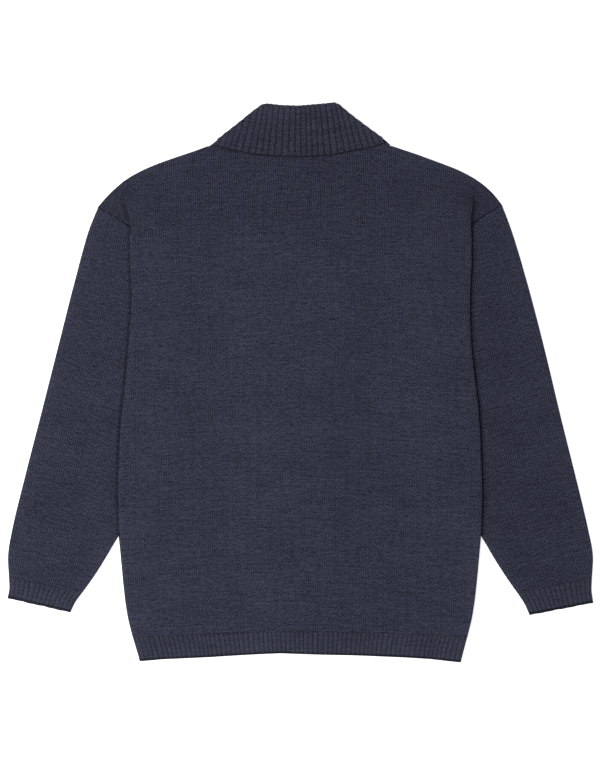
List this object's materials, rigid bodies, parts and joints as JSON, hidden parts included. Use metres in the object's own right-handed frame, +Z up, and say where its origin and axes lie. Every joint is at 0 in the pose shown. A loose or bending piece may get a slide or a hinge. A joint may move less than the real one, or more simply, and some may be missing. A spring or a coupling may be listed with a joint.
{
  "type": "cardigan",
  "caption": "Knitted shawl-collar cardigan laid flat on its buttoned front, back up, with dropped shoulders, sleeves down its sides, and ribbed collar, cuffs and hem.",
  "frame": {"origin": "under the middle of the laid-out garment's outline, on the surface that it lies on", "axes": "+Z up from the surface, through the front and then the back; +Y along the garment from its hem to its collar; +X across it, towards the wearer's right sleeve"},
  "size_m": [0.8113, 0.7751, 0.0119],
  "materials": {
    "knit": "plain knit, slightly heathered navy",
    "rib": "ribbed knit, slightly heathered navy",
    "button": "dark, satin"
  },
  "bodies": {
    "root": {"back_panel": "knit", "back_hem_rib": "rib", "front_panel_left": "knit", "front_panel_right": "knit", "front_hem_rib_left": "rib", "front_hem_rib_right": "rib", "buttonhole_band": "rib", "button_band": "rib", "sleeve_left": "knit", "sleeve_right": "knit", "cuff_left": "rib", "cuff_right": "rib", "collar": "rib", "button_1": "button", "button_2": "button", "button_3": "button", "button_4": "button", "button_5": "button"}
  },
  "joints": []
}
